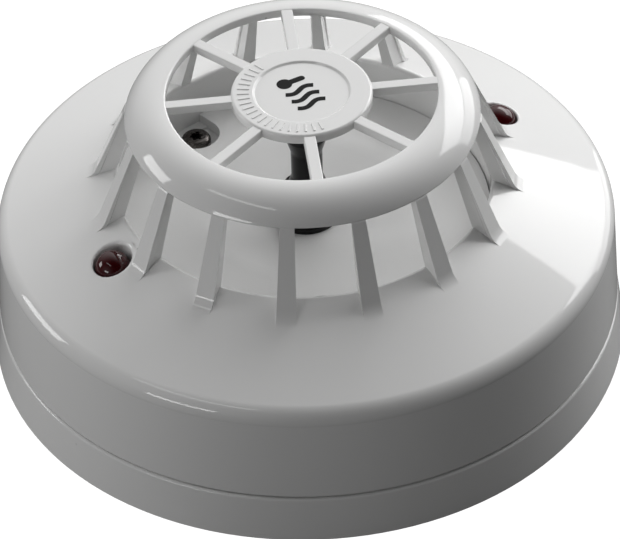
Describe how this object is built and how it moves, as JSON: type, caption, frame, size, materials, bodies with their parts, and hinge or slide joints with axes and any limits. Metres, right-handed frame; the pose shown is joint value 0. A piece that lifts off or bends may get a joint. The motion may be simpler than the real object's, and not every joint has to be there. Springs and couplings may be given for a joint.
{
  "type": "heat detector",
  "caption": "Round ceiling heat detector: low drum with sloping face, finned protective cage over a thermistor, two red indicator lamps, twist-lock head on a wiring base.",
  "frame": {"origin": "centre of the base's back face, which lies against the ceiling", "axes": "+Z out of the ceiling through the cage; +X towards the right-hand indicator lamp"},
  "size_m": [0.1, 0.1, 0.0461],
  "materials": {
    "white_plastic": "glossy moulded",
    "black_plastic": "satin moulded",
    "dark_steel": "dark plated",
    "plated_steel": "zinc plated",
    "spring_steel": "bright strip",
    "contact_steel": "bright strip",
    "board_green": "lacquered",
    "lamp_red": "dark red clear",
    "bead_coating": "coated",
    "chip_black": "moulded",
    "ceramic_tan": "ceramic",
    "capacitor_sleeve": "sleeved"
  },
  "bodies": {
    "base": {"base_moulding": "white_plastic", "contact_leaf_1": "spring_steel", "contact_leaf_2": "spring_steel", "contact_leaf_3": "spring_steel", "contact_leaf_4": "spring_steel", "earth_plate": "plated_steel", "terminal_clamp_plates": "plated_steel", "terminal_screws": "plated_steel"},
    "head": {"back_moulding": "white_plastic", "cage_fins": "white_plastic", "cage_hub": "white_plastic", "cage_ring": "white_plastic", "cage_spokes": "white_plastic", "ceramic_capacitors": "ceramic_tan", "chamber_floor": "white_plastic", "circuit_board": "board_green", "control_chip": "chip_black", "diodes": "chip_black", "floor_screws": "dark_steel", "head_contact_1": "contact_steel", "head_contact_2": "contact_steel", "head_contact_3": "contact_steel", "head_contact_4": "contact_steel", "indicator_lamp_left": "lamp_red", "indicator_lamp_right": "lamp_red", "outer_cover": "white_plastic", "resistors": "chip_black", "storage_capacitor": "capacitor_sleeve", "thermistor": "bead_coating", "thermistor_holder": "black_plastic", "transistors": "chip_black"}
  },
  "joints": [
    {"name": "head_twist", "type": "hinge", "parent": "base", "child": "head", "pos_m": [0, 0, 0], "axis": [0, 0, 1], "range_deg": [0, 15]}
  ]
}
